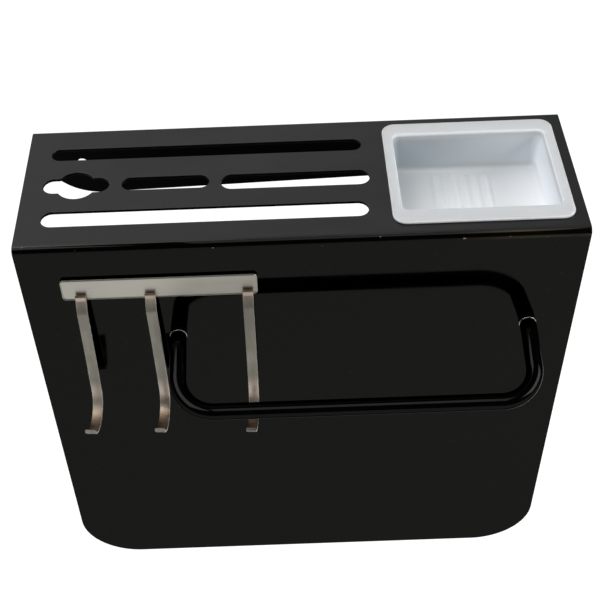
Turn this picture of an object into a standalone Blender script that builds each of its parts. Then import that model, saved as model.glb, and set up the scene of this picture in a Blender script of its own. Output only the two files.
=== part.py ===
"""Wall-hung salon styling station: one bent steel sheet with tool slots, a lift-out tray,
three flat-bar hooks on a small rail, and a bent-rod loop that holds a hair dryer.

Frame: the origin is on the wall flange's back face, at its middle, 20 mm below the plate's top.
+Z is up, +Y points into the wall, and the front panel faces -Y. Everything is in metres.
"""

import math

import bmesh
import bpy
from mathutils import Vector

# Bent sheet
WIDTH = 0.300
DEPTH = 0.0992
PANEL_HEIGHT = 0.2882
FLANGE_LEFT_HEIGHT = 0.0473
FLANGE_RIGHT_HEIGHT = 0.0380
SHEET = 0.0018
BEND_RADIUS = 0.0040
PANEL_CORNER = 0.0370
FLANGE_CORNER = 0.0340
WALL_HOLE_RADIUS = 0.003
WALL_HOLE_INSET = 0.025
WALL_HOLE_DROP = 0.0233

LEFT_X = -WIDTH / 2
FRONT_Y = -DEPTH
TOP_Z = 0.020
WALL_HOLE_Z = TOP_Z - WALL_HOLE_DROP
PANEL_FOOT_Z = TOP_Z - PANEL_HEIGHT
FLANGE_FOOT_Z = TOP_Z - FLANGE_LEFT_HEIGHT
FLANGE_SLOPE = (FLANGE_LEFT_HEIGHT - FLANGE_RIGHT_HEIGHT) / WIDTH

# Tool slots in the top plate: distances from its left end, then from the front panel
FRONT_SLOT = (0.0128, 0.1865, 0.0171, 0.0287)
REAR_SLOT = (0.0133, 0.1861, 0.0714, 0.0812)
SHORT_SLOT = (0.0540, 0.1017, 0.0445, 0.0549)
MIDDLE_SLOT = (0.1080, 0.1888, 0.0425, 0.0544)
KEYHOLE_SLOT = (0.0112, 0.0473, 0.0439, 0.0556)
KEYHOLE_CENTRE = (0.0292, 0.0498)
KEYHOLE_RADIUS = 0.0109

# Lift-out tray: its rim stands on the plate, and its box hangs through a cut-out
TRAY_CENTRE = (0.2461, 0.0497)
RIM_HALF = (0.0478, 0.0411)
MOUTH_HALF = (0.0422, 0.0313)
MOUTH_CORNER = 0.004
CORNER_GROWTH = 0.55
RIM_HEIGHT = 0.0022
RIM_ROUNDING = 0.0012
TRAY_WALL = 0.0016
TRAY_DEPTH = 0.0252
WALL_DRAFT = 0.0020
FLOOR_FILLET = 0.0030
CUTOUT_CLEARANCE = 0.0012
CUTOUT_CORNER = 0.0065
RIB_COUNT = 6
RIB_PITCH = 0.0060
RIB_SHIFT = -0.0035
RIB_WIDTH = 0.0030
RIB_HEIGHT = 0.0007
RIB_LENGTH = 0.0500

# Hook rail: distances from the panel's left end, and below the top plate
RAIL_LEFT = 0.0216
RAIL_RIGHT = 0.1261
RAIL_TOP = 0.0220
RAIL_HEIGHT = 0.0144
RAIL_CORNER = 0.0022
RAIL_THICKNESS = 0.0010
TAPE_THICKNESS = 0.0003
TAPE_INSET = 0.0010

# Hooks: flat bar, joggled off the rail, then bent up into a J by hand, so no two are alike.
# Each has its place on the rail, how far below the plate its bow starts, how far its foot
# strays sideways, and how far the bow is twisted to the left, in degrees.
HOOKS = {
    "hook_left": (0.0315, 0.1020, 0.0003, 5),
    "hook_middle": (0.0686, 0.1028, 0.0016, 4),
    "hook_right": (0.1208, 0.1053, 0.0004, 4),
}
HOOK_WIDTH = 0.0057
HOOK_THICKNESS = 0.0017
HOOK_TOP = 0.0325
JOGGLE_START = 0.0350
JOGGLE_END = 0.0424
JOGGLE_DEPTH = 0.0034
SHANK_LEAN = 0.0040
JOGGLE_FILLET = 0.0050
BOW_RADIUS = 0.0133
BOW_SWEEP = 160

# Dryer loop: a bent rod, held by a screw through the panel into each end
ROD_RADIUS = 0.0046
LEG_PLACES = {"left": 0.0807, "right": 0.2746}
LEG_DROP = 0.0684
LOOP_REACH = 0.0467
LOOP_SAG = 0.0115
LEG_STUB = 0.0060
STUB_FILLET = 0.0120
LOOP_CORNER = 0.0200
COLLAR_RADIUS = 0.0048
COLLAR_THICKNESS = 0.0010
WASHER_RADIUS = 0.0060
WASHER_THICKNESS = 0.0010
SCREW_RADIUS = 0.0020
SCREW_HEAD_RADIUS = 0.0039
SCREW_HEAD_HEIGHT = 0.0024
THREAD_IN_ROD = 0.0080
RECESS_WIDTH = 0.0010
RECESS_LENGTH = 0.0042
RECESS_DEPTH = 0.0013

GAP = 0.0003
OVERSHOOT = 0.004
CORNER_STEPS = 6
ROUND_SIDES = 24
ROD_SIDES = 16
SHARP_ANGLE = math.radians(32)


# Helpers


def clear_scene():
    for found in list(bpy.data.objects):
        bpy.data.objects.remove(found)


def make_material(name, colour, roughness, metallic):
    made = bpy.data.materials.new(name)
    made.use_nodes = True
    shader = made.node_tree.nodes["Principled BSDF"]
    shader.inputs["Base Color"].default_value = (*colour, 1)
    shader.inputs["Roughness"].default_value = roughness
    shader.inputs["Metallic"].default_value = metallic
    return made


def arc(centre, radius, start, end, steps=CORNER_STEPS):
    """Points on a circle from one angle to another, in degrees."""
    angles = [math.radians(start + (end - start) * i / steps) for i in range(steps + 1)]
    return [(centre[0] + radius * math.cos(a), centre[1] + radius * math.sin(a)) for a in angles]


def rounded_rectangle(centre, half, radius, steps=CORNER_STEPS):
    points = []
    for quarter, (side_x, side_y) in enumerate(((1, 1), (-1, 1), (-1, -1), (1, -1))):
        corner = (centre[0] + side_x * (half[0] - radius), centre[1] + side_y * (half[1] - radius))
        points += arc(corner, radius, 90 * quarter, 90 * quarter + 90, steps)
    return points


def on_plate(from_left, from_front):
    """World X and Y of a place on the top plate."""
    return (LEFT_X + from_left, FRONT_Y + from_front)


def along_x(u, v, w):
    return (w, u, v)


def along_y(u, v, w):
    return (u, w, v)


def along_z(u, v, w):
    return (u, v, w)


def loft(bm, rings, closed=False):
    """Bridges rings of equal length into a skin, and caps the two ends unless it is closed."""
    rings = [[bm.verts.new(point) for point in ring] for ring in rings]
    following = rings[1:] + rings[:1] if closed else rings[1:]
    for near, far in zip(rings, following):
        for i in range(len(near)):
            j = (i + 1) % len(near)
            bm.faces.new((near[i], near[j], far[j], far[i]))
    if not closed:
        bm.faces.new(list(reversed(rings[0])))
        bm.faces.new(rings[-1])


def add_prism(bm, outline, place, low, high):
    """Adds the solid between two copies of an outline, at low and high along one axis."""
    loft(bm, [[place(u, v, w) for u, v in outline] for w in (low, high)])


def make_object(name, bm, surface=None):
    bmesh.ops.recalc_face_normals(bm, faces=bm.faces)
    mesh = bpy.data.meshes.new(name)
    bm.to_mesh(mesh)
    bm.free()
    mesh.shade_smooth()
    mesh.set_sharp_from_angle(angle=SHARP_ANGLE)
    made = bpy.data.objects.new(name, mesh)
    bpy.context.scene.collection.objects.link(made)
    if surface:
        mesh.materials.append(surface)
    return made


def move_origin(made, origin):
    """Puts an object's origin at a world point and leaves its shape where it is."""
    shift = Vector(origin)
    made.data.transform(made.matrix_world.inverted())
    for vertex in made.data.vertices:
        vertex.co -= shift
    made.location = shift


def apply_shape(target, other, operation):
    """Adds the Boolean of another object, which only guides the shape and isn't a piece."""
    other.hide_render = True
    other.display_type = "WIRE"
    step = target.modifiers.new(other.name, "BOOLEAN")
    step.operation = operation
    step.solver = "EXACT"
    step.object = other


def rounded_path(corners, radii, steps=CORNER_STEPS):
    """A polyline through 3-D corners, each inner one rounded to its radius."""
    corners = [Vector(corner) for corner in corners]
    path = [corners[0]]
    for before, corner, after, radius in zip(corners, corners[1:], corners[2:], radii):
        back = (before - corner).normalized()
        ahead = (after - corner).normalized()
        half_angle = back.angle(ahead) / 2
        centre = corner + (back + ahead).normalized() * (radius / math.sin(half_angle))
        first = corner + back * (radius / math.tan(half_angle)) - centre
        last = corner + ahead * (radius / math.tan(half_angle)) - centre
        turn = first.rotation_difference(last)
        for i in range(steps + 1):
            share = turn.copy()
            share.angle = turn.angle * i / steps
            path.append(centre + share @ first)
    path.append(corners[-1])
    return path


def add_tube(bm, path, radius, sides):
    """Sweeps a circle along a path whose first stretch runs along Y."""
    across = Vector((1, 0, 0))
    rings = []
    for i, point in enumerate(path):
        along = (path[min(i + 1, len(path) - 1)] - path[max(i - 1, 0)]).normalized()
        across = (across - along * across.dot(along)).normalized()
        other = along.cross(across)
        turns = [2 * math.pi * k / sides for k in range(sides)]
        rings.append([point + radius * (math.cos(t) * across + math.sin(t) * other) for t in turns])
    loft(bm, rings)


def add_turned(bm, profile, centre, closed=False, sides=ROUND_SIDES):
    """Turns a profile of (radius, y) about the line along Y through centre (x, z)."""
    rings = []
    for radius, y in profile:
        turns = [2 * math.pi * k / sides for k in range(sides)]
        circle = [(centre[0] + radius * math.cos(t), centre[1] + radius * math.sin(t)) for t in turns]
        rings.append([(x, y, z) for x, z in circle])
    loft(bm, rings, closed)


# Bent sheet: front panel, top plate and wall flange


def sheet_section():
    """Side view of the bent sheet, as (y, z)."""
    front_bend = (FRONT_Y + BEND_RADIUS, TOP_Z - BEND_RADIUS)
    rear_bend = (-BEND_RADIUS, TOP_Z - BEND_RADIUS)
    inner_radius = BEND_RADIUS - SHEET
    outside = [(FRONT_Y, PANEL_FOOT_Z)]
    outside += arc(front_bend, BEND_RADIUS, 180, 90)
    outside += arc(rear_bend, BEND_RADIUS, 90, 0)
    outside += [(0, FLANGE_FOOT_Z)]
    inside = [(-SHEET, FLANGE_FOOT_Z)]
    inside += arc(rear_bend, inner_radius, 0, 90)
    inside += arc(front_bend, inner_radius, 90, 180)
    inside += [(FRONT_Y + SHEET, PANEL_FOOT_Z)]
    return outside + inside


def slot_outline(left, right, front, back):
    radius = (back - front) / 2
    middle = (front + back) / 2
    outline = arc(on_plate(right - radius, middle), radius, -90, 90)
    outline += arc(on_plate(left + radius, middle), radius, 90, 270)
    return outline


def keyhole_outline():
    """A slot with a round opening part way along it."""
    left, right, front, back = KEYHOLE_SLOT
    radius = (back - front) / 2
    middle = KEYHOLE_CENTRE[1]
    hole = on_plate(*KEYHOLE_CENTRE)
    meeting = math.degrees(math.asin(radius / KEYHOLE_RADIUS))
    outline = arc(on_plate(right - radius, middle), radius, -90, 90)
    outline += arc(hole, KEYHOLE_RADIUS, meeting, 180 - meeting, 2 * CORNER_STEPS)
    outline += arc(on_plate(left + radius, middle), radius, 90, 270)
    outline += arc(hole, KEYHOLE_RADIUS, 180 + meeting, 360 - meeting, 2 * CORNER_STEPS)
    return outline


def panel_corner_outline(side):
    """The scrap outside one of the panel's rounded lower corners, as (x, z)."""
    centre = (side * (WIDTH / 2 - PANEL_CORNER), PANEL_FOOT_Z + PANEL_CORNER)
    outline = arc(centre, PANEL_CORNER, 270, 270 + side * 90, 2 * CORNER_STEPS)
    outline += [(side * (WIDTH / 2 + OVERSHOOT), centre[1])]
    outline += [(side * (WIDTH / 2 + OVERSHOOT), PANEL_FOOT_Z - OVERSHOOT)]
    outline += [(centre[0], PANEL_FOOT_Z - OVERSHOOT)]
    return outline


def flange_scrap_outline():
    """The scrap below the flange's sloping foot and round its two lower corners, as (x, z)."""
    slope = math.degrees(math.atan(FLANGE_SLOPE))
    left = LEFT_X + FLANGE_CORNER
    rise = FLANGE_CORNER / math.cos(math.radians(slope))
    left_centre = (left, FLANGE_FOOT_Z + FLANGE_SLOPE * FLANGE_CORNER + rise)
    right_centre = (-left, FLANGE_FOOT_Z + FLANGE_SLOPE * (WIDTH - FLANGE_CORNER) + rise)
    outline = [(LEFT_X - OVERSHOOT, left_centre[1])]
    outline += arc(left_centre, FLANGE_CORNER, 180, 270 + slope, 2 * CORNER_STEPS)
    outline += arc(right_centre, FLANGE_CORNER, 270 + slope, 360, 2 * CORNER_STEPS)
    outline += [(-LEFT_X + OVERSHOOT, right_centre[1])]
    outline += [(-LEFT_X + OVERSHOOT, FLANGE_FOOT_Z - OVERSHOOT)]
    outline += [(LEFT_X - OVERSHOOT, FLANGE_FOOT_Z - OVERSHOOT)]
    return outline


def circle_outline(centre, radius):
    return arc(centre, radius, 0, 360, ROUND_SIDES)[:-1]


def make_station_body(coated):
    bm = bmesh.new()
    add_prism(bm, sheet_section(), along_x, LEFT_X, -LEFT_X)
    body = make_object("station_body", bm, coated)

    plate_cuts = bmesh.new()
    outlines = [slot_outline(*slot) for slot in (FRONT_SLOT, REAR_SLOT, SHORT_SLOT, MIDDLE_SLOT)]
    outlines += [keyhole_outline(), tray_cutout_outline()]
    for outline in outlines:
        add_prism(plate_cuts, outline, along_z, TOP_Z - SHEET - OVERSHOOT, TOP_Z + OVERSHOOT)
    apply_shape(body, make_object("plate_cuts", plate_cuts), "DIFFERENCE")

    panel_cuts = bmesh.new()
    outlines = [panel_corner_outline(side) for side in (-1, 1)]
    outlines += [circle_outline(leg_centre(place), SCREW_RADIUS + GAP) for place in LEG_PLACES]
    for outline in outlines:
        add_prism(panel_cuts, outline, along_y, FRONT_Y - OVERSHOOT, FRONT_Y + SHEET + OVERSHOOT)
    apply_shape(body, make_object("panel_cuts", panel_cuts), "DIFFERENCE")

    flange_cuts = bmesh.new()
    hole_x = WIDTH / 2 - WALL_HOLE_INSET
    outlines = [flange_scrap_outline()]
    outlines += [circle_outline((side * hole_x, WALL_HOLE_Z), WALL_HOLE_RADIUS) for side in (-1, 1)]
    for outline in outlines:
        add_prism(flange_cuts, outline, along_y, -SHEET - OVERSHOOT, OVERSHOOT)
    apply_shape(body, make_object("flange_cuts", flange_cuts), "DIFFERENCE")


# Lift-out tray


def tray_cutout_outline():
    grown = [half + TRAY_WALL + CUTOUT_CLEARANCE for half in MOUTH_HALF]
    return rounded_rectangle(on_plate(*TRAY_CENTRE), grown, CUTOUT_CORNER)


def tray_ring(growth, height, at_rim=False):
    """A level ring round the tray: grown from its mouth, or shrunk from its rim's outer edge."""
    base = RIM_HALF if at_rim else MOUTH_HALF
    half = [side + growth for side in base]
    corner = MOUTH_CORNER + CORNER_GROWTH * (half[0] - MOUTH_HALF[0])
    outline = rounded_rectangle(on_plate(*TRAY_CENTRE), half, corner, CORNER_STEPS - 1)
    return [(x, y, TOP_Z + height) for x, y in outline]


def tray_rings():
    """Rings from under the floor, up the outside, over the rim and down the inside."""
    diagonal = math.sqrt(0.5)
    floor = RIM_HEIGHT - TRAY_DEPTH
    outer_fillet = FLOOR_FILLET + TRAY_WALL
    outer_foot = TRAY_WALL - WALL_DRAFT
    rounding_top = RIM_HEIGHT - RIM_ROUNDING
    rounding_mid = RIM_HEIGHT - RIM_ROUNDING * (1 - diagonal)
    return [
        tray_ring(outer_foot - outer_fillet, floor - TRAY_WALL),
        tray_ring(outer_foot - outer_fillet * (1 - diagonal), floor + FLOOR_FILLET - outer_fillet * diagonal),
        tray_ring(outer_foot, floor + FLOOR_FILLET),
        tray_ring(TRAY_WALL, GAP),
        tray_ring(0, GAP, at_rim=True),
        tray_ring(0, rounding_top, at_rim=True),
        tray_ring(-RIM_ROUNDING * (1 - diagonal), rounding_mid, at_rim=True),
        tray_ring(-RIM_ROUNDING, RIM_HEIGHT, at_rim=True),
        tray_ring(RIM_ROUNDING, RIM_HEIGHT),
        tray_ring(RIM_ROUNDING * (1 - diagonal), rounding_mid),
        tray_ring(0, rounding_top),
        tray_ring(-WALL_DRAFT, floor + FLOOR_FILLET),
        tray_ring(-WALL_DRAFT - FLOOR_FILLET * (1 - diagonal), floor + FLOOR_FILLET * (1 - diagonal)),
        tray_ring(-WALL_DRAFT - FLOOR_FILLET, floor),
    ]


def make_storage_tray(plastic):
    bm = bmesh.new()
    loft(bm, tray_rings())
    tray = make_object("storage_tray", bm, plastic)

    ribs = bmesh.new()
    floor_z = TOP_Z + RIM_HEIGHT - TRAY_DEPTH
    centre_x, centre_y = on_plate(*TRAY_CENTRE)
    for i in range(RIB_COUNT):
        middle = (centre_x + RIB_SHIFT + RIB_PITCH * (i - (RIB_COUNT - 1) / 2), centre_y)
        outline = rounded_rectangle(middle, (RIB_WIDTH / 2, RIB_LENGTH / 2), RIB_WIDTH / 2.5, 2)
        add_prism(ribs, outline, along_z, floor_z - TRAY_WALL / 2, floor_z + RIB_HEIGHT)
    apply_shape(tray, make_object("tray_ribs", ribs), "UNION")
    move_origin(tray, (centre_x, centre_y, TOP_Z))


# Hook rail and its hooks


def rail_front_y():
    return FRONT_Y - 2 * GAP - TAPE_THICKNESS - RAIL_THICKNESS


def make_hook_rail(steel, foam):
    middle = ((RAIL_LEFT + RAIL_RIGHT) / 2 + LEFT_X, TOP_Z - RAIL_TOP - RAIL_HEIGHT / 2)
    half = ((RAIL_RIGHT - RAIL_LEFT) / 2, RAIL_HEIGHT / 2)
    bm = bmesh.new()
    outline = rounded_rectangle(middle, half, RAIL_CORNER)
    add_prism(bm, outline, along_y, rail_front_y(), rail_front_y() + RAIL_THICKNESS)
    make_object("hook_rail", bm, steel)

    bm = bmesh.new()
    outline = rounded_rectangle(middle, [side - TAPE_INSET for side in half], RAIL_CORNER / 2, 2)
    add_prism(bm, outline, along_y, FRONT_Y - GAP - TAPE_THICKNESS, FRONT_Y - GAP)
    make_object("hook_rail_tape", bm, foam)


def hook_path(bow_start):
    """Middle line of a hook in side view, as points (0, y, z), from its top to its tip."""
    foot_y = rail_front_y() - GAP - HOOK_THICKNESS / 2
    shank_y = foot_y - JOGGLE_DEPTH
    end_y = shank_y - SHANK_LEAN
    corners = [
        (0, foot_y, TOP_Z - HOOK_TOP),
        (0, foot_y, TOP_Z - JOGGLE_START),
        (0, shank_y, TOP_Z - JOGGLE_END),
        (0, end_y, TOP_Z - bow_start),
    ]
    path = rounded_path(corners, (JOGGLE_FILLET, JOGGLE_FILLET), CORNER_STEPS - 2)
    bow = arc((end_y - BOW_RADIUS, TOP_Z - bow_start), BOW_RADIUS, 0, -BOW_SWEEP, 3 * CORNER_STEPS)
    return path + [Vector((0, y, z)) for y, z in bow[1:]]


def ribbon_outline(path, thickness):
    """Outline, as (y, z), of a strip of even thickness along a path in the YZ plane."""
    front, back = [], []
    for i, point in enumerate(path):
        along = (path[min(i + 1, len(path) - 1)] - path[max(i - 1, 0)]).normalized()
        side = Vector((0, -along.z, along.y)) * thickness / 2
        front.append((point.y + side.y, point.z + side.z))
        back.append((point.y - side.y, point.z - side.z))
    return front + back[::-1]


def stray(point, middle, bow_start, sideways, twist):
    """Moves a point of a straight hook to where the hand-bent one has it."""
    shank_y = rail_front_y() - JOGGLE_DEPTH
    share = (TOP_Z - JOGGLE_END - point.z) / (bow_start - JOGGLE_END)
    share = min(max(share, 0), 1)
    angle = -math.radians(twist) * share
    across, outward = point.x - middle, point.y - shank_y
    point.x = middle + sideways * share + across * math.cos(angle) - outward * math.sin(angle)
    point.y = shank_y + across * math.sin(angle) + outward * math.cos(angle)


def make_hooks(steel):
    for name, (from_left, bow_start, sideways, twist) in HOOKS.items():
        outline = ribbon_outline(hook_path(bow_start), HOOK_THICKNESS)
        middle = LEFT_X + from_left
        bm = bmesh.new()
        add_prism(bm, outline, along_x, middle - HOOK_WIDTH / 2, middle + HOOK_WIDTH / 2)
        for vertex in bm.verts:
            stray(vertex.co, middle, bow_start, sideways, twist)
        make_object(name, bm, steel)


# Dryer loop and what holds it


def leg_centre(side):
    """World X and Z of the line that a leg's screw lies on."""
    return (LEFT_X + LEG_PLACES[side], TOP_Z - LEG_DROP)


def rod_end_y():
    return FRONT_Y - 2 * GAP - COLLAR_THICKNESS


def loop_path():
    left_x, leg_z = leg_centre("left")
    right_x = leg_centre("right")[0]
    bar_y = FRONT_Y - LOOP_REACH
    bar_z = leg_z - LOOP_SAG
    stub_y = FRONT_Y - LEG_STUB
    corners = [
        (left_x, rod_end_y(), leg_z),
        (left_x, stub_y, leg_z),
        (left_x, bar_y, bar_z),
        (right_x, bar_y, bar_z),
        (right_x, stub_y, leg_z),
        (right_x, rod_end_y(), leg_z),
    ]
    return rounded_path(corners, (STUB_FILLET, LOOP_CORNER, LOOP_CORNER, STUB_FILLET))


def make_holder_loop(gloss):
    bm = bmesh.new()
    add_tube(bm, loop_path(), ROD_RADIUS, ROD_SIDES)
    rod = make_object("holder_loop", bm, gloss)

    bores = bmesh.new()
    for side in LEG_PLACES:
        outline = circle_outline(leg_centre(side), SCREW_RADIUS + GAP)
        add_prism(bores, outline, along_y, rod_end_y() - THREAD_IN_ROD, rod_end_y() + OVERSHOOT)
    apply_shape(rod, make_object("rod_bores", bores), "DIFFERENCE")


def make_ring(name, centre, outer_radius, low_y, thickness, surface):
    bore = SCREW_RADIUS + GAP
    high_y = low_y + thickness
    bm = bmesh.new()
    profile = [(bore, low_y), (outer_radius, low_y), (outer_radius, high_y), (bore, high_y)]
    add_turned(bm, profile, centre, closed=True)
    make_object(name, bm, surface)


def make_screw(name, centre, surface):
    """A pan-head screw behind the panel, whose shank runs forward into the rod's end."""
    head_y = FRONT_Y + SHEET + 2 * GAP + WASHER_THICKNESS
    crown_y = head_y + SCREW_HEAD_HEIGHT
    tip_y = rod_end_y() - THREAD_IN_ROD + 2 * GAP
    chamfer = SCREW_RADIUS / 3
    profile = [
        (SCREW_RADIUS - chamfer, tip_y),
        (SCREW_RADIUS, tip_y + chamfer),
        (SCREW_RADIUS, head_y),
        (SCREW_HEAD_RADIUS, head_y),
        (SCREW_HEAD_RADIUS, head_y + SCREW_HEAD_HEIGHT / 2),
        (SCREW_HEAD_RADIUS * 0.9, head_y + SCREW_HEAD_HEIGHT * 0.8),
        (SCREW_HEAD_RADIUS * 0.65, crown_y),
    ]
    bm = bmesh.new()
    add_turned(bm, profile, centre)
    screw = make_object(name, bm, surface)

    x, z = centre
    long_side, short_side = RECESS_LENGTH / 2, RECESS_WIDTH / 2
    cross = [
        (short_side, short_side), (short_side, long_side), (-short_side, long_side),
        (-short_side, short_side), (-long_side, short_side), (-long_side, -short_side),
        (-short_side, -short_side), (-short_side, -long_side), (short_side, -long_side),
        (short_side, -short_side), (long_side, -short_side), (long_side, short_side),
    ]
    recess = bmesh.new()
    outline = [(x + u, z + v) for u, v in cross]
    add_prism(recess, outline, along_y, crown_y - RECESS_DEPTH, crown_y + OVERSHOOT)
    apply_shape(screw, make_object(name + "_recess", recess), "DIFFERENCE")


def make_loop_fixings(zinc):
    for side in LEG_PLACES:
        centre = leg_centre(side)
        collar_y = FRONT_Y - GAP - COLLAR_THICKNESS
        washer_y = FRONT_Y + SHEET + GAP
        make_ring("loop_collar_" + side, centre, COLLAR_RADIUS, collar_y, COLLAR_THICKNESS, zinc)
        make_ring("loop_washer_" + side, centre, WASHER_RADIUS, washer_y, WASHER_THICKNESS, zinc)
        make_screw("loop_screw_" + side, centre, zinc)


def main():
    clear_scene()
    coated = make_material("black_coated_steel", (0.020, 0.020, 0.020), 0.32, 0.0)
    gloss = make_material("gloss_black_rod", (0.004, 0.004, 0.004), 0.12, 0.0)
    steel = make_material("brushed_stainless", (0.52, 0.50, 0.46), 0.34, 1.0)
    plastic = make_material("frosted_plastic", (0.72, 0.76, 0.80), 0.38, 0.0)
    zinc = make_material("zinc_plated_steel", (0.62, 0.63, 0.64), 0.28, 1.0)
    foam = make_material("foam_tape", (0.05, 0.05, 0.05), 0.9, 0.0)
    make_station_body(coated)
    make_storage_tray(plastic)
    make_hook_rail(steel, foam)
    make_hooks(steel)
    make_holder_loop(gloss)
    make_loop_fixings(zinc)


main()
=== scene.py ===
"""Looks of the wall-hung salon styling station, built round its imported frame.

Everything is in metres, in the frame's own axes: +Z is up, +Y points into the wall, the front
panel faces -Y, and the origin is on the wall flange's back face, midway along it and 20 mm below
the plate's top.
"""

import math

import bmesh
import bpy
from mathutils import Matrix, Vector


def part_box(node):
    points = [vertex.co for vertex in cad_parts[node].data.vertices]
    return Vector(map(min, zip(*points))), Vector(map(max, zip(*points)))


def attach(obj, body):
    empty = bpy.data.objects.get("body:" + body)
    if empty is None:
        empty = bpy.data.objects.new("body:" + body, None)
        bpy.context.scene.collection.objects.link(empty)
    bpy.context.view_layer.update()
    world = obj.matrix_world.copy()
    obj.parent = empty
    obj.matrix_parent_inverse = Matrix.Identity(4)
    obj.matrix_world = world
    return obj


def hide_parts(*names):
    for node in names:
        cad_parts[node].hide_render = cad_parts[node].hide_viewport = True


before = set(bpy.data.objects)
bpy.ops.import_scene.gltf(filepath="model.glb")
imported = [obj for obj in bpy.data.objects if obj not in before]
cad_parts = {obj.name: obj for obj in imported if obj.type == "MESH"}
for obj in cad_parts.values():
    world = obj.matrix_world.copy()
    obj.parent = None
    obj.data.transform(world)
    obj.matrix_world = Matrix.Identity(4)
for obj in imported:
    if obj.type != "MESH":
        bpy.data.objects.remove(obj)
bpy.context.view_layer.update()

# The frame's own places
BODY_LOW, BODY_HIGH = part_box("station_body")
TRAY_LOW, TRAY_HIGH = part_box("storage_tray")
RAIL_LOW, RAIL_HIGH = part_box("hook_rail")
TAPE_LOW, TAPE_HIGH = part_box("hook_rail_tape")
LOOP_LOW, LOOP_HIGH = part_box("holder_loop")

WIDTH = BODY_HIGH.x - BODY_LOW.x
LEFT_X = BODY_LOW.x
FRONT_Y = BODY_LOW.y
TOP_Z = BODY_HIGH.z
TRAY_CENTRE = ((TRAY_LOW.x + TRAY_HIGH.x) / 2, (TRAY_LOW.y + TRAY_HIGH.y) / 2)

# Bent sheet, as in the CAD; a slot is its left, right, front and back, from the plate's front left
SHEET = 0.0018
BEND_RADIUS = 0.0040
PANEL_CORNER = 0.0370
FLANGE_CORNER = 0.0340
FLANGE_FOOT_Z = -0.0273
FLANGE_SLOPE = 0.0310
WALL_HOLE_RADIUS = 0.003
WALL_HOLE_X = 0.125
WALL_HOLE_Z = -0.0033
SLOTS = (
    (0.0128, 0.1865, 0.0171, 0.0287),
    (0.0133, 0.1861, 0.0714, 0.0812),
    (0.0540, 0.1017, 0.0445, 0.0549),
    (0.1080, 0.1888, 0.0425, 0.0544),
)
KEYHOLE_SLOT = (0.0112, 0.0473, 0.0439, 0.0556)
KEYHOLE_CENTRE = (0.0292, 0.0498)
KEYHOLE_RADIUS = 0.0109
EDGE_ROUNDING = 0.00025

# A face of the sheet is part of the glossy front while it is low on the bend and leans forward
GLOSS_BEND_SHARE = 0.7
GLOSS_LEAN = 0.34

# Tray, as in the CAD, with its ribs' feet blended into the floor
MOUTH_HALF = (0.0422, 0.0313)
MOUTH_CORNER = 0.004
CORNER_GROWTH = 0.55
RIM_HEIGHT = 0.0022
RIM_ROUNDING = 0.0012
TRAY_WALL = 0.0016
TRAY_DEPTH = 0.0252
WALL_DRAFT = 0.0020
FLOOR_FILLET = 0.0030
CUTOUT_GROWTH = 0.0028
CUTOUT_CORNER = 0.0065
RIB_COUNT = 6
RIB_PITCH = 0.0060
RIB_SHIFT = -0.0035
RIB_WIDTH = 0.0030
RIB_HEIGHT = 0.0007
RIB_LENGTH = 0.0500
RIB_BLEND = 0.0011
RIB_STEPS = 12
RIB_END_ROUNDING = 0.95

# Hooks, as in the CAD: place, bow's start below the plate, sideways stray, twist in degrees
HOOKS = {
    "hook_left": (0.0315, 0.1020, 0.0003, 5),
    "hook_middle": (0.0686, 0.1028, 0.0016, 4),
    "hook_right": (0.1208, 0.1053, 0.0004, 4),
}
HOOK_WIDTH = 0.0057
HOOK_THICKNESS = 0.0017
HOOK_ROUNDING = 0.00035
HOOK_STEP = 0.002
SHEARED_LEAN = 0.75
HOOK_TOP = 0.0325
JOGGLE_START = 0.0350
JOGGLE_END = 0.0424
JOGGLE_DEPTH = 0.0034
SHANK_LEAN = 0.0040
JOGGLE_FILLET = 0.0050
BOW_RADIUS = 0.0133
BOW_SWEEP = 160
BOW_TOP_Z = TOP_Z - HOOKS["hook_left"][1]
RAIL_CORNER = 0.0022
RAIL_ROUNDING = 0.0004
TAPE_ROUNDING = 0.0001

# Loop and its fixings, as in the CAD
ROD_RADIUS = 0.0046
LEG_DROP = 0.0684
LOOP_REACH = 0.0467
LOOP_SAG = 0.0115
LEG_STUB = 0.0060
STUB_FILLET = 0.0120
LOOP_CORNER = 0.0200
ROD_CHAMFER = 0.0004
BORE_RADIUS = 0.0023
COLLAR_ROUNDING = 0.00035
WASHER_ROUNDING = 0.00015

# Screws
SHANK_RADIUS = 0.0020
THREAD_PITCH = 0.0007
THREAD_DEPTH = 0.0003
HEAD_SIDE = 0.0010
HEAD_CROWN = 0.0014
HEAD_FLAT_SHARE = 0.62
RECESS_DEPTH = 0.0013
RECESS_ARM = 0.0021
RECESS_HALF_WIDTH = 0.0005

# Camera
CAMERA_PLACE = (-0.01149, -0.54119, 0.43825)
CAMERA_AZIMUTH = 0.3745
CAMERA_ELEVATION = 46.265
CAMERA_ROLL = -2.360
CAMERA_LENS = 70.9
CAMERA_SENSOR = 36
CAMERA_SHIFT = 0.04
CAMERA_CLIP = 0.01

# Floor, world and lights: each light's name, place, aim, size and watts
FLOOR_DROP = 0.30
FLOOR_HALF = 6
WORLD_COLOUR = (0.93, 0.96, 1.0)
WORLD_LIGHT = 0.10
WORLD_BACKDROP = 0.85
BODY_MIDDLE = (0, FRONT_Y / 2, 0)
SOFT_LIGHTS = (
    ("back_softbox", (-0.7, 1.9, 1.9), BODY_MIDDLE, (3.2, 2.4), 14.5),
    ("left_softbox", (-1.05, -0.25, 1.55), BODY_MIDDLE, (2.0, 1.3), 28),
    ("overhead_softbox", (0.2, -0.70, 1.75), (0.2, -0.70, 0), (0.8, 1.0), 5.5),
    ("right_softbox", (1.1, -0.35, 0.45), (0.75, -0.35, -0.57), (0.8, 0.8), 12),
)

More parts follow.
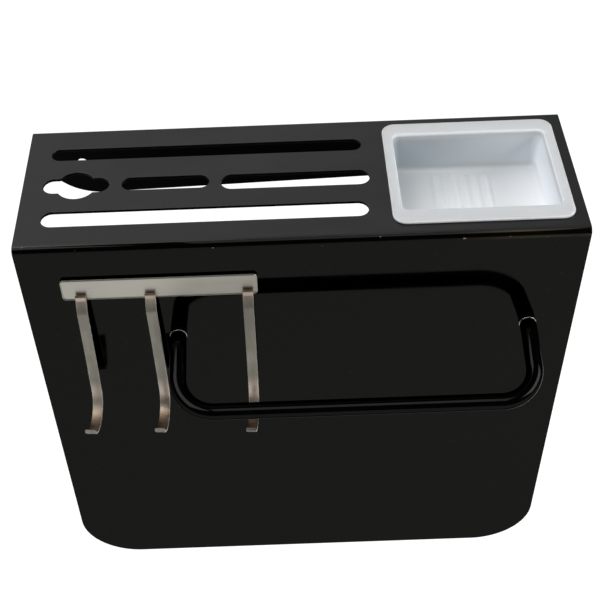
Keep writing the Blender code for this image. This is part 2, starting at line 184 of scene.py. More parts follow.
GAP = 0.0003
OVERSHOOT = 0.004
ARC_STEPS = 16
ROUND_SIDES = 64
ROD_SIDES = 40
SHARP_ANGLE = math.radians(35)
BEVEL_ANGLE = math.radians(40)


# Outlines and meshes


def arc(centre, radius, start, end, steps=ARC_STEPS):
    """Points on a circle from one angle to another, in degrees."""
    angles = turn_angles(start, end, steps)
    return [(centre[0] + radius * math.cos(a), centre[1] + radius * math.sin(a)) for a in angles]


def rounded_rectangle(centre, half, radius, steps=ARC_STEPS):
    points = []
    for quarter, (side_x, side_y) in enumerate(((1, 1), (-1, 1), (-1, -1), (1, -1))):
        corner = (centre[0] + side_x * (half[0] - radius), centre[1] + side_y * (half[1] - radius))
        points += arc(corner, radius, 90 * quarter, 90 * quarter + 90, steps)
    return points


def circle_outline(centre, radius, steps=ROUND_SIDES):
    return arc(centre, radius, 0, 360, steps)[:-1]


def turn_angles(start, end, steps):
    """Angles in radians, evenly spaced from one in degrees to another."""
    return [math.radians(start + (end - start) * i / steps) for i in range(steps + 1)]


def on_plate(from_left, from_front):
    return (LEFT_X + from_left, FRONT_Y + from_front)


def along_x(u, v, w):
    return (w, u, v)


def along_y(u, v, w):
    return (u, w, v)


def along_z(u, v, w):
    return (u, v, w)


def loft(bm, rings, closed=False):
    """Bridges rings of equal length into a skin, and caps the two ends unless it is closed."""
    rings = [[bm.verts.new(point) for point in ring] for ring in rings]
    following = rings[1:] + rings[:1] if closed else rings[1:]
    for near, far in zip(rings, following):
        for i in range(len(near)):
            j = (i + 1) % len(near)
            bm.faces.new((near[i], near[j], far[j], far[i]))
    if not closed:
        bm.faces.new(list(reversed(rings[0])))
        bm.faces.new(rings[-1])


def add_prism(bm, outline, place, low, high):
    loft(bm, [[place(u, v, w) for u, v in outline] for w in (low, high)])


def add_turned(bm, profile, centre, closed=False):
    """Turns a profile of (radius, y) about the line along Y through centre (x, z)."""
    rings = []
    for radius, y in profile:
        circle = circle_outline(centre, radius)
        rings.append([(x, y, z) for x, z in circle])
    loft(bm, rings, closed)


def make_object(name, bm, materials=()):
    bmesh.ops.recalc_face_normals(bm, faces=bm.faces)
    mesh = bpy.data.meshes.new(name)
    bm.to_mesh(mesh)
    bm.free()
    mesh.shade_smooth()
    mesh.set_sharp_from_angle(angle=SHARP_ANGLE)
    made = bpy.data.objects.new(name, mesh)
    bpy.context.scene.collection.objects.link(made)
    for material in materials:
        mesh.materials.append(material)
    return made


def add_boolean(target, other, operation):
    step = target.modifiers.new(other.name, "BOOLEAN")
    step.operation = operation
    step.solver = "EXACT"
    step.object = other


def bake_modifiers(made, helpers=()):
    """Turns a piece's modifiers into its own mesh, and removes the objects that only shaped it."""
    bpy.context.view_layer.update()
    graph = bpy.context.evaluated_depsgraph_get()
    mesh = bpy.data.meshes.new_from_object(made.evaluated_get(graph))
    made.modifiers.clear()
    old = made.data
    made.data = mesh
    mesh.name = made.name
    bpy.data.meshes.remove(old)
    for helper in helpers:
        bpy.data.objects.remove(helper)


def keep_flats_flat(made):
    """Weights the normals by area, so that flat faces next to rounded ones look flat."""
    normals = made.modifiers.new("normals", "WEIGHTED_NORMAL")
    normals.keep_sharp = True


def round_edges(made, width, segments=2):
    """Rounds the sharp edges a little, and keeps the flat faces' normals flat."""
    bevel = made.modifiers.new("edges", "BEVEL")
    bevel.width = width
    bevel.segments = segments
    bevel.limit_method = "ANGLE"
    bevel.angle_limit = BEVEL_ANGLE
    bevel.harden_normals = True
    keep_flats_flat(made)


def rounded_path(corners, radii, steps=ARC_STEPS):
    """A polyline through 3-D corners, each inner one rounded to its radius."""
    corners = [Vector(corner) for corner in corners]
    path = [corners[0]]
    for before, corner, after, radius in zip(corners, corners[1:], corners[2:], radii):
        back = (before - corner).normalized()
        ahead = (after - corner).normalized()
        half_angle = back.angle(ahead) / 2
        centre = corner + (back + ahead).normalized() * (radius / math.sin(half_angle))
        first = corner + back * (radius / math.tan(half_angle)) - centre
        last = corner + ahead * (radius / math.tan(half_angle)) - centre
        turn = first.rotation_difference(last)
        for i in range(steps + 1):
            share = turn.copy()
            share.angle = turn.angle * i / steps
            path.append(centre + share @ first)
    path.append(corners[-1])
    return path


def show(made, node, body):
    """Makes a piece stand for a CAD node and ride on its body."""
    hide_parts(node)
    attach(made, body)


# Materials


class Shading:
    """A material's node tree, with short ways to add the nodes that the finishes share."""

    def __init__(self, name):
        self.material = bpy.data.materials.new(name)
        self.material.use_nodes = True
        self.tree = self.material.node_tree
        self.shader = self.tree.nodes["Principled BSDF"]

    def add(self, kind, **inputs):
        node = self.tree.nodes.new(kind)
        for name, value in inputs.items():
            socket = node.inputs[name.replace("_", " ")]
            if isinstance(value, bpy.types.NodeSocket):
                self.tree.links.new(value, socket)
            else:
                socket.default_value = value
        return node

    def position(self, stretch=(1, 1, 1)):
        place = self.add("ShaderNodeTexCoord").outputs["Object"]
        return self.add("ShaderNodeMapping", Vector=place, Scale=stretch).outputs["Vector"]

    def noise(self, scale, detail=3.0, stretch=(1, 1, 1), roughness=0.5):
        node = self.add(
            "ShaderNodeTexNoise",
            Vector=self.position(stretch),
            Scale=scale,
            Detail=detail,
            Roughness=roughness,
        )
        return node.outputs["Fac"]

    def span(self, value, low, high, new_low, new_high):
        """Maps a value from one span to another, smoothly and held at its ends."""
        node = self.tree.nodes.new("ShaderNodeMapRange")
        node.interpolation_type = "SMOOTHSTEP"
        sockets = (value, low, high, new_low, new_high)
        for i, setting in enumerate(sockets):
            if isinstance(setting, bpy.types.NodeSocket):
                self.tree.links.new(setting, node.inputs[i])
            else:
                node.inputs[i].default_value = setting
        return node.outputs[0]

    def axis(self, name):
        place = self.add("ShaderNodeTexCoord").outputs["Object"]
        return self.add("ShaderNodeSeparateXYZ", Vector=place).outputs[name]

    def maths(self, operation, first, second):
        node = self.tree.nodes.new("ShaderNodeMath")
        node.operation = operation
        for i, setting in enumerate((first, second)):
            if isinstance(setting, bpy.types.NodeSocket):
                self.tree.links.new(setting, node.inputs[i])
            else:
                node.inputs[i].default_value = setting
        return node.outputs[0]

    def mix(self, share, first, second):
        node = self.tree.nodes.new("ShaderNodeMix")
        node.data_type = "RGBA"
        for name, setting in ((0, share), (6, first), (7, second)):
            if isinstance(setting, bpy.types.NodeSocket):
                self.tree.links.new(setting, node.inputs[name])
            elif name == 0:
                node.inputs[name].default_value = setting
            else:
                node.inputs[name].default_value = (*setting, 1)
        return node.outputs[2]

    def bump(self, height, strength, distance, under=None):
        inputs = {"Height": height, "Strength": strength, "Distance": distance}
        if under:
            inputs["Normal"] = under
        return self.add("ShaderNodeBump", **inputs).outputs["Normal"]

    def set(self, **inputs):
        for name, value in inputs.items():
            socket = self.shader.inputs[name.replace("_", " ")]
            if isinstance(value, bpy.types.NodeSocket):
                self.tree.links.new(value, socket)
            elif isinstance(value, tuple) and socket.type == "RGBA":
                socket.default_value = (*value, 1)
            else:
                socket.default_value = value
        return self.material


def satin_black():
    """The coated sheet's top, sides and back: satin, with a fine grain and faint mottling."""
    look = Shading("satin_black")
    mottle = look.noise(55, detail=4)
    grain = look.noise(1500, detail=2)
    rub = look.noise(18, detail=5, stretch=(1, 3, 3))
    colour = look.mix(mottle, (0.004, 0.004, 0.004), (0.008, 0.008, 0.008))
    roughness = look.span(rub, 0.35, 0.7, 0.34, 0.44)
    return look.set(
        Base_Color=colour,
        Roughness=roughness,
        Specular_IOR_Level=0.5,
        Normal=look.bump(grain, 0.12, 0.0001),
    )


def inside_black_painted_shade():
    """The sheet's inner faces: a darker, duller copy of the satin black, its darkness painted shade.
    """
    look = Shading("inside_black_painted_shade")
    cloud = look.noise(70, detail=4)
    grain = look.noise(900, detail=2)
    return look.set(
        # Painted shade: the inside black is darker than the satin black
        Base_Color=look.mix(cloud, (0.0010, 0.0010, 0.0010), (0.0025, 0.0025, 0.0025)),
        Roughness=look.span(cloud, 0.3, 0.7, 0.5, 0.65),
        Specular_IOR_Level=0.03,
        Normal=look.bump(grain, 0.15, 0.0001),
    )


def gloss_black_panel():
    """The front panel: the same coat, left glossy, with dust, chips and a painted highlight along
    its bend.

    A near-black metal, with its grazing reflection damped by the tint, stands in for the coat.
    """
    look = Shading("gloss_black_panel")
    smudge = look.noise(22, detail=5)
    waves = look.noise(7, detail=1)
    dust = look.span(look.noise(420, detail=2), 0.70, 0.76, 0, 1)
    near_bend = look.span(look.axis("Z"), TOP_Z - 0.005, TOP_Z - 0.0035, 0, 1)
    chip_noise = look.span(look.noise(330, detail=1), 0.775, 0.79, 0, 1)
    chips = look.maths("MULTIPLY", chip_noise, near_bend)
    # Painted highlight: paler streaks along the right end of the bend
    rightwards = look.span(look.axis("X"), 0.075, 0.125, 0, 1)
    bend_highlight_noise = look.span(look.noise(60, detail=3, stretch=(0.3, 1, 1)), 0.35, 0.6, 0.4, 1)
    bend_painted_highlight = look.maths("MULTIPLY", look.maths("MULTIPLY", rightwards, near_bend), bend_highlight_noise)
    clean = look.mix(dust, (0.0087, 0.0087, 0.0082), (0.0135, 0.0135, 0.0125))
    clean = look.mix(bend_painted_highlight, clean, (0.030, 0.025, 0.017))
    colour = look.mix(chips, clean, (0.20, 0.13, 0.085))
    return look.set(
        Base_Color=colour,
        Metallic=1.0,
        Specular_Tint=(0.53, 0.53, 0.53),
        Roughness=look.span(smudge, 0.4, 0.7, 0.045, 0.085),
        Normal=look.bump(waves, 0.06, 0.0004),
    )


def gloss_black_rod():
    """The loop's gloss coat, made as the panel's is, with scuffs."""
    look = Shading("gloss_black_rod_coat")
    flow = look.noise(90, detail=2)
    scuffs = look.noise(140, detail=6, stretch=(1, 4, 4))
    return look.set(
        Base_Color=look.mix(flow, (0.0075, 0.0075, 0.0075), (0.0095, 0.0095, 0.0095)),
        Metallic=1.0,
        Specular_Tint=(0.45, 0.45, 0.45),
        Roughness=look.span(scuffs, 0.45, 0.7, 0.07, 0.14),
        Normal=look.bump(flow, 0.04, 0.0003),
    )


def brushed_rail():
    """Brushed stainless steel, with its streaks along the rail and painted shade along its top edge.
    """
    look = Shading("brushed_rail")
    streaks = look.noise(220, detail=6, stretch=(0.06, 3, 3), roughness=0.65)
    cloud = look.noise(30, detail=3)
    steel = look.mix(streaks, (0.27, 0.255, 0.225), (0.43, 0.41, 0.365))
    steel = look.mix(look.span(cloud, 0.35, 0.65, 0, 0.35), steel, (0.36, 0.36, 0.30))
    # Painted shade: the rail's top edge is darkened
    top_edge_painted_shade = look.span(look.axis("Z"), RAIL_HIGH.z - 0.0007, RAIL_HIGH.z - 0.0001, 0, 0.85)
    return look.set(
        Base_Color=look.mix(top_edge_painted_shade, steel, (0.07, 0.065, 0.055)),
        Metallic=1.0,
        Roughness=look.span(streaks, 0.3, 0.7, 0.30, 0.46),
        Normal=look.bump(streaks, 0.22, 0.0001),
    )


def brushed_hooks():
    """Duller steel, streaked along the bar, with dull patches, painted warm reflections and
    highlights, and painted shade.
    """
    look = Shading("brushed_hooks")
    streaks = look.noise(220, detail=6, stretch=(3, 3, 0.06), roughness=0.65)
    patches = look.noise(120, detail=3, stretch=(1, 1, 0.6))
    height = look.axis("Z")
    hook_top_z = TOP_Z - HOOK_TOP
    dull = look.span(patches, 0.45, 0.62, 0, 0.5)
    # Painted reflection: the bow's upper part is paler and warmer
    bow_top_painted_reflection = look.span(height, BOW_TOP_Z + 0.010, BOW_TOP_Z - 0.002, 0, 0.8)
    # Painted reflection: the bow's lowest part is brown
    bow = look.span(height, BOW_TOP_Z - 0.0085, BOW_TOP_Z - 0.013, 0, 0.85)
    # Painted shade: the hook's tip is darker
    tip = look.span(look.axis("Y"), FRONT_Y - 0.0300, FRONT_Y - 0.0340, 0, 0.9)
    # Painted highlight: the joggle is paler and warmer
    joggle_painted_highlight = look.span(height, TOP_Z - JOGGLE_END, TOP_Z - JOGGLE_START, 0, 0.55)
    # Painted shade: the hook's top end is darker
    top_end_painted_shade = look.span(height, hook_top_z - 0.0006, hook_top_z - 0.0002, 0, 0.8)
    colour = look.mix(streaks, (0.138, 0.130, 0.110), (0.272, 0.255, 0.222))
    for share, tint in (
        (dull, (0.20, 0.20, 0.153)),
        (bow_top_painted_reflection, (0.47, 0.395, 0.325)),
        (bow, (0.17, 0.11, 0.07)),
        (tip, (0.085, 0.078, 0.07)),
        (joggle_painted_highlight, (0.58, 0.47, 0.38)),
        (top_end_painted_shade, (0.22, 0.155, 0.11)),
    ):
        colour = look.mix(share, colour, tint)
    return look.set(
        Base_Color=colour,
        Metallic=1.0,
        Roughness=look.span(patches, 0.35, 0.65, 0.38, 0.54),
        Normal=look.bump(streaks, 0.22, 0.0001),
    )


def sheared_steel():
    """The hooks' sheared sides: rough and paler than their brushed faces."""
    look = Shading("sheared_steel")
    tears = look.noise(700, detail=3, stretch=(1, 0.3, 1))
    return look.set(
        Base_Color=look.mix(tears, (0.50, 0.49, 0.44), (0.74, 0.73, 0.68)),
        Metallic=1.0,
        Roughness=look.span(tears, 0.3, 0.7, 0.55, 0.7),
        Normal=look.bump(tears, 0.3, 0.0002),
    )


def frosted_plastic():
    """Translucent polypropylene, cloudy and faintly blue, with a painted glow round the rim's edge.

    Painted light and shade: dark inner walls, paler to the right; a floor paler to the front right.
    """
    look = Shading("frosted_polypropylene")
    haze = look.noise(26, detail=4)
    flow = look.noise(60, detail=5, stretch=(0.4, 2, 2))
    grain = look.noise(900, detail=2)
    height = look.axis("Z")
    # Painted light: the walls pale towards the right, the right wall most
    rightwards = look.span(look.axis("X"), TRAY_LOW.x + 0.010, TRAY_HIGH.x - 0.010, 0, 1)
    right_wall_painted_light = look.span(look.axis("X"), TRAY_HIGH.x - 0.012, TRAY_HIGH.x - 0.008, 0, 1)
    # Painted shade: the inner walls are darker than the rim
    inside = look.mix(haze, (0.375, 0.43, 0.465), (0.425, 0.475, 0.505))
    inside = look.mix(rightwards, inside, (0.66, 0.71, 0.755))
    inside = look.mix(right_wall_painted_light, inside, (0.80, 0.845, 0.90))
    # Painted light and shade: the floor is dark at the rear left and pale at the front right
    from_rear = look.maths("SUBTRACT", look.maths("MULTIPLY", look.axis("X"), 0.4), look.axis("Y"))
    floor_painted_light = look.span(from_rear, 0.050, 0.125, 0, 1)
    floor = look.mix(floor_painted_light, (0.46, 0.478, 0.483), (0.90, 0.91, 0.945))
    inside = look.mix(look.span(height, TOP_Z - 0.017, TOP_Z - 0.022, 0, 1), inside, floor)
    rim = look.mix(flow, (0.55, 0.57, 0.595), (0.62, 0.635, 0.65))
    colour = look.mix(look.span(height, TOP_Z - 0.004, TOP_Z + 0.0005, 0, 1), inside, rim)
    # Painted glow: a pale band round the rim's rounded edge
    rim_top = TOP_Z + RIM_HEIGHT
    below_top = look.span(height, rim_top - 0.00005, rim_top - 0.0004, 0, 1)
    above_foot = look.span(height, rim_top - 0.0012, rim_top - 0.0022, 1, 0)
    edge = look.maths("MULTIPLY", below_top, above_foot)
    colour = look.mix(edge, colour, (0.86, 0.88, 0.90))
    return look.set(
        Base_Color=colour,
        Roughness=look.span(haze, 0.35, 0.65, 0.34, 0.44),
        Subsurface_Weight=0.5,
        Subsurface_Radius=(1.0, 1.05, 1.15),
        Subsurface_Scale=0.008,
        Specular_IOR_Level=0.45,
        Normal=look.bump(grain, 0.05, 0.0001),
    )


def zinc():
    look = Shading("bright_zinc")
    cloud = look.noise(160, detail=4)
    return look.set(
        Base_Color=look.mix(cloud, (0.24, 0.25, 0.27), (0.36, 0.36, 0.34)),
        Metallic=1.0,
        Roughness=look.span(cloud, 0.3, 0.7, 0.22, 0.34),
        Normal=look.bump(cloud, 0.05, 0.0001),
    )


def foam():
    look = Shading("closed_cell_foam")
    cells = look.noise(1400, detail=2)
    return look.set(
        Base_Color=look.mix(cells, (0.025, 0.025, 0.027), (0.06, 0.06, 0.06)),
        Roughness=0.9,
        Normal=look.bump(cells, 0.5, 0.0002),
    )


# Bent sheet


def sheet_section():
    """Side view of the bent sheet, as (y, z)."""
    front_bend = (FRONT_Y + BEND_RADIUS, TOP_Z - BEND_RADIUS)
    rear_bend = (BODY_HIGH.y - BEND_RADIUS, TOP_Z - BEND_RADIUS)
    inner_radius = BEND_RADIUS - SHEET
    outside = [(FRONT_Y, BODY_LOW.z)]
    outside += arc(front_bend, BEND_RADIUS, 180, 90)
    outside += arc(rear_bend, BEND_RADIUS, 90, 0)
    outside += [(BODY_HIGH.y, FLANGE_FOOT_Z)]
    inside = [(BODY_HIGH.y - SHEET, FLANGE_FOOT_Z)]
    inside += arc(rear_bend, inner_radius, 0, 90)
    inside += arc(front_bend, inner_radius, 90, 180)
    inside += [(FRONT_Y + SHEET, BODY_LOW.z)]
    return outside + inside


def slot_outline(left, right, front, back):
    radius = (back - front) / 2
    middle = (front + back) / 2
    outline = arc(on_plate(right - radius, middle), radius, -90, 90)
    outline += arc(on_plate(left + radius, middle), radius, 90, 270)
    return outline


def keyhole_outline():
    left, right, front, back = KEYHOLE_SLOT
    radius = (back - front) / 2
    middle = KEYHOLE_CENTRE[1]
    hole = on_plate(*KEYHOLE_CENTRE)
    meeting = math.degrees(math.asin(radius / KEYHOLE_RADIUS))
    outline = arc(on_plate(right - radius, middle), radius, -90, 90)
    outline += arc(hole, KEYHOLE_RADIUS, meeting, 180 - meeting, 2 * ARC_STEPS)
    outline += arc(on_plate(left + radius, middle), radius, 90, 270)
    outline += arc(hole, KEYHOLE_RADIUS, 180 + meeting, 360 - meeting, 2 * ARC_STEPS)
    return outline


def panel_corner_outline(side):
    centre = (side * (WIDTH / 2 - PANEL_CORNER), BODY_LOW.z + PANEL_CORNER)
    outline = arc(centre, PANEL_CORNER, 270, 270 + side * 90, 2 * ARC_STEPS)
    outline += [(side * (WIDTH / 2 + OVERSHOOT), centre[1])]
    outline += [(side * (WIDTH / 2 + OVERSHOOT), BODY_LOW.z - OVERSHOOT)]
    outline += [(centre[0], BODY_LOW.z - OVERSHOOT)]
    return outline


def flange_scrap_outline():
    """What is cut away below the flange's sloping foot and round its corners, as (x, z)."""
    slope = math.degrees(math.atan(FLANGE_SLOPE))
    rise = FLANGE_CORNER / math.cos(math.radians(slope))
    left = LEFT_X + FLANGE_CORNER
    left_centre = (left, FLANGE_FOOT_Z + FLANGE_SLOPE * FLANGE_CORNER + rise)
    right_centre = (-left, FLANGE_FOOT_Z + FLANGE_SLOPE * (WIDTH - FLANGE_CORNER) + rise)
    outline = [(LEFT_X - OVERSHOOT, left_centre[1])]
    outline += arc(left_centre, FLANGE_CORNER, 180, 270 + slope, 2 * ARC_STEPS)
    outline += arc(right_centre, FLANGE_CORNER, 270 + slope, 360, 2 * ARC_STEPS)
    outline += [(-LEFT_X + OVERSHOOT, right_centre[1])]
    outline += [(-LEFT_X + OVERSHOOT, FLANGE_FOOT_Z - OVERSHOOT)]
    outline += [(LEFT_X - OVERSHOOT, FLANGE_FOOT_Z - OVERSHOOT)]
    return outline


def leg_centres():
    """X and Z of the lines that the loop's left and right screws lie on."""
    z = TOP_Z - LEG_DROP
    return (LOOP_LOW.x + ROD_RADIUS, z), (LOOP_HIGH.x - ROD_RADIUS, z)


def make_cutter(name, outlines, place, low, high):
    bm = bmesh.new()
    for outline in outlines:
        add_prism(bm, outline, place, low, high)
    return make_object(name, bm)


def finish_of(face):
    """Which of the body's materials a face has: 0 satin, 1 gloss on the front, 2 darker inside,
    painted shade.
    """
    bend_limit = FRONT_Y + BEND_RADIUS * GLOSS_BEND_SHARE
    if face.center.y < bend_limit and face.normal.y < -GLOSS_LEAN:
        return 1
    below_top = face.center.z < TOP_Z - SHEET / 2
    behind_panel = face.center.y > FRONT_Y + SHEET * 1.5
    if below_top and behind_panel and face.center.y < BODY_HIGH.y - SHEET / 2:
        return 2
    return 0


def make_station_body():
    bm = bmesh.new()
    add_prism(bm, sheet_section(), along_x, BODY_LOW.x, BODY_HIGH.x)
    body = make_object("bent_sheet", bm, (satin_black(), gloss_black_panel(), inside_black_painted_shade()))

    plate_outlines = [slot_outline(*slot) for slot in SLOTS]
    plate_outlines += [keyhole_outline()]
    cutout_half = [half + CUTOUT_GROWTH for half in MOUTH_HALF]
    plate_outlines += [rounded_rectangle(TRAY_CENTRE, cutout_half, CUTOUT_CORNER)]
    panel_outlines = [panel_corner_outline(side) for side in (-1, 1)]
    panel_outlines += [circle_outline(centre, BORE_RADIUS) for centre in leg_centres()]
    wall_holes = [(side * WALL_HOLE_X, WALL_HOLE_Z) for side in (-1, 1)]
    flange_outlines = [flange_scrap_outline()]
    flange_outlines += [circle_outline(hole, WALL_HOLE_RADIUS) for hole in wall_holes]
    under_plate = TOP_Z - SHEET - OVERSHOOT
    behind_panel = FRONT_Y + SHEET + OVERSHOOT
    cutters = [
        make_cutter("plate_cuts", plate_outlines, along_z, under_plate, TOP_Z + OVERSHOOT),
        make_cutter("panel_cuts", panel_outlines, along_y, FRONT_Y - OVERSHOOT, behind_panel),
        make_cutter("flange_cuts", flange_outlines, along_y, -SHEET - OVERSHOOT, OVERSHOOT),
    ]
    for cutter in cutters:
        add_boolean(body, cutter, "DIFFERENCE")
    round_edges(body, EDGE_ROUNDING)
    bake_modifiers(body, cutters)
    for face in body.data.polygons:
        face.material_index = finish_of(face)
    show(body, "station_body", "station")


# Tray


def tray_ring(growth, height, at_rim=False):
    rim_half = ((TRAY_HIGH.x - TRAY_LOW.x) / 2, (TRAY_HIGH.y - TRAY_LOW.y) / 2)
    base = rim_half if at_rim else MOUTH_HALF
    half = [side + growth for side in base]
    corner = MOUTH_CORNER + CORNER_GROWTH * (half[0] - MOUTH_HALF[0])
    outline = rounded_rectangle(TRAY_CENTRE, half, corner, ARC_STEPS // 2)
    return [(x, y, TOP_Z + height) for x, y in outline]


def fillet_rings(growth, height, radius, start, end, at_rim=False, steps=8):
    """Rings round a rounded edge: growth and height are the centre of its arc."""
    points = arc((growth, height), radius, start, end, steps)
    return [tray_ring(u, v, at_rim) for u, v in points]


def tray_rings():
    floor = RIM_HEIGHT - TRAY_DEPTH
    outer_fillet = FLOOR_FILLET + TRAY_WALL
    outer_foot = TRAY_WALL - WALL_DRAFT
    small = TRAY_WALL / 4
    rings = fillet_rings(outer_foot - outer_fillet, floor + FLOOR_FILLET, outer_fillet, -90, 0)
    rings += [tray_ring(TRAY_WALL, GAP)]
    rings += fillet_rings(-small, GAP + small, small, -90, 0, at_rim=True, steps=3)
    rings += fillet_rings(-RIM_ROUNDING, RIM_HEIGHT - RIM_ROUNDING, RIM_ROUNDING, 0, 90, at_rim=True)
    rings += fillet_rings(RIM_ROUNDING, RIM_HEIGHT - RIM_ROUNDING, RIM_ROUNDING, 90, 180)
    rings += fillet_rings(-WALL_DRAFT - FLOOR_FILLET, floor + FLOOR_FILLET, FLOOR_FILLET, 0, -90)
    return rings


def rib_rings(middle, floor_z):
    """Rings up a rib: one below the floor, then up a smooth hump to its crest."""
    foot = RIB_WIDTH / 2 + RIB_BLEND
    sections = [(0, -RIB_HEIGHT)]
    for step in range(RIB_STEPS):
        share = step / RIB_STEPS
        sections.append((share, RIB_HEIGHT * (1 - math.cos(math.pi * share)) / 2))
    rings = []
    for share, rise in sections:
        half = (foot * (1 - share), RIB_LENGTH / 2 - foot * share)
        outline = rounded_rectangle(middle, half, half[0] * RIB_END_ROUNDING, 6)
        rings.append([(x, y, floor_z + rise) for x, y in outline])
    return rings


def make_tray():
    bm = bmesh.new()
    loft(bm, tray_rings())
    tray = make_object("tray", bm, (frosted_plastic(),))
    floor_z = TOP_Z + RIM_HEIGHT - TRAY_DEPTH
    ribs = bmesh.new()
    for i in range(RIB_COUNT):
        rib_x = TRAY_CENTRE[0] + RIB_SHIFT + RIB_PITCH * (i - (RIB_COUNT - 1) / 2)
        loft(ribs, rib_rings((rib_x, TRAY_CENTRE[1]), floor_z))
    helper = make_object("tray_ribs", ribs)
    add_boolean(tray, helper, "UNION")
    bake_modifiers(tray, [helper])
    tray.data.shade_smooth()
    tray.data.set_sharp_from_angle(angle=SHARP_ANGLE)
    keep_flats_flat(tray)
    bake_modifiers(tray)
    show(tray, "storage_tray", "tray")


# Hook rail, its tape and the hooks


def make_rail():
    """The rail: rings from its rounded front edge to a small bevel at its back edge."""
    middle = ((RAIL_LOW.x + RAIL_HIGH.x) / 2, (RAIL_LOW.z + RAIL_HIGH.z) / 2)
    half = ((RAIL_HIGH.x - RAIL_LOW.x) / 2, (RAIL_HIGH.z - RAIL_LOW.z) / 2)
    soft = RAIL_ROUNDING
    profile = []
    for angle in turn_angles(180, 90, 5):
        profile.append((soft + soft * math.cos(angle), RAIL_LOW.y + soft - soft * math.sin(angle)))
    profile += [(0, RAIL_HIGH.y - soft / 2), (soft / 2, RAIL_HIGH.y)]
    rings = []
    for inset, y in profile:
        outline = rounded_rectangle(middle, [side - inset for side in half], RAIL_CORNER - inset)
        rings.append([(x, y, z) for x, z in outline])
    bm = bmesh.new()
    loft(bm, rings)
    rail = make_object("rail", bm, (brushed_rail(),))
    show(rail, "hook_rail", "station")


def make_tape():
    middle = ((TAPE_LOW.x + TAPE_HIGH.x) / 2, (TAPE_LOW.z + TAPE_HIGH.z) / 2)
    half = ((TAPE_HIGH.x - TAPE_LOW.x) / 2, (TAPE_HIGH.z - TAPE_LOW.z) / 2)
    bm = bmesh.new()
    outline = rounded_rectangle(middle, half, RAIL_CORNER / 2)
    add_prism(bm, outline, along_y, TAPE_LOW.y, TAPE_HIGH.y)
    tape = make_object("foam_tape", bm, (foam(),))
    round_edges(tape, TAPE_ROUNDING)
    bake_modifiers(tape)
    show(tape, "hook_rail_tape", "station")


def hook_path(bow_start):
    """Middle line of a hook in side view, as points (0, y, z), from its top to its tip."""
    foot_y = RAIL_LOW.y - GAP - HOOK_THICKNESS / 2
    shank_y = foot_y - JOGGLE_DEPTH
    end_y = shank_y - SHANK_LEAN
    corners = [
        (0, foot_y, TOP_Z - HOOK_TOP),
        (0, foot_y, TOP_Z - JOGGLE_START),
        (0, shank_y, TOP_Z - JOGGLE_END),
        (0, end_y, TOP_Z - bow_start),
    ]
    path = rounded_path(corners, (JOGGLE_FILLET, JOGGLE_FILLET), ARC_STEPS // 2)
    bow = arc((end_y - BOW_RADIUS, TOP_Z - bow_start), BOW_RADIUS, 0, -BOW_SWEEP, 3 * ARC_STEPS)
    return path + [Vector((0, y, z)) for y, z in bow[1:]]


def stray(point, middle, bow_start, sideways, twist):
    """Moves a point of a straight hook to where the hand-bent one has it."""
    shank_y = RAIL_LOW.y - JOGGLE_DEPTH
    share = (TOP_Z - JOGGLE_END - point.z) / (bow_start - JOGGLE_END)
    share = min(max(share, 0), 1)
    angle = -math.radians(twist) * share
    across, outward = point.x - middle, point.y - shank_y
    point.x = middle + sideways * share + across * math.cos(angle) - outward * math.sin(angle)
    point.y = shank_y + across * math.sin(angle) + outward * math.cos(angle)


def refine(path, longest):
    """Splits a path's long stretches, so that a twist along it stays smooth."""
    fine = [path[0]]
    for here, there in zip(path, path[1:]):
        parts = max(1, math.ceil((there - here).length / longest))
        fine += [here.lerp(there, i / parts) for i in range(1, parts + 1)]
    return fine


def path_direction(path, i):
    return (path[min(i + 1, len(path) - 1)] - path[max(i - 1, 0)]).normalized()


def make_hooks():
    steels = (brushed_hooks(), sheared_steel())
    section = rounded_rectangle((0, 0), (HOOK_WIDTH / 2, HOOK_THICKNESS / 2), HOOK_ROUNDING, 3)
    for name, (from_left, bow_start, sideways, twist) in HOOKS.items():
        path = refine(hook_path(bow_start), HOOK_STEP)
        middle = LEFT_X + from_left
        rings = []
        for i, point in enumerate(path):
            along = path_direction(path, i)
            side = Vector((0, -along.z, along.y))
            centre = Vector((middle, point.y, point.z))
            rings.append([centre + Vector((u, 0, 0)) + side * v for u, v in section])
        bm = bmesh.new()
        loft(bm, rings)
        for vertex in bm.verts:
            stray(vertex.co, middle, bow_start, sideways, twist)
        hook = make_object(name + "_bar", bm, steels)
        for face in hook.data.polygons:
            face.material_index = 1 if abs(face.normal.x) > SHEARED_LEAN else 0
        show(hook, name, "station")


# Dryer loop and its fixings


def loop_path(end_y):
    (left_x, leg_z), (right_x, _) = leg_centres()
    bar_y = FRONT_Y - LOOP_REACH
    bar_z = leg_z - LOOP_SAG
    stub_y = FRONT_Y - LEG_STUB
    corners = [
        (left_x, end_y, leg_z),
        (left_x, stub_y, leg_z),
        (left_x, bar_y, bar_z),
        (right_x, bar_y, bar_z),
        (right_x, stub_y, leg_z),
        (right_x, end_y, leg_z),
    ]
    radii = (STUB_FILLET, LOOP_CORNER, LOOP_CORNER, STUB_FILLET)
    return rounded_path(corners, radii, 2 * ARC_STEPS)


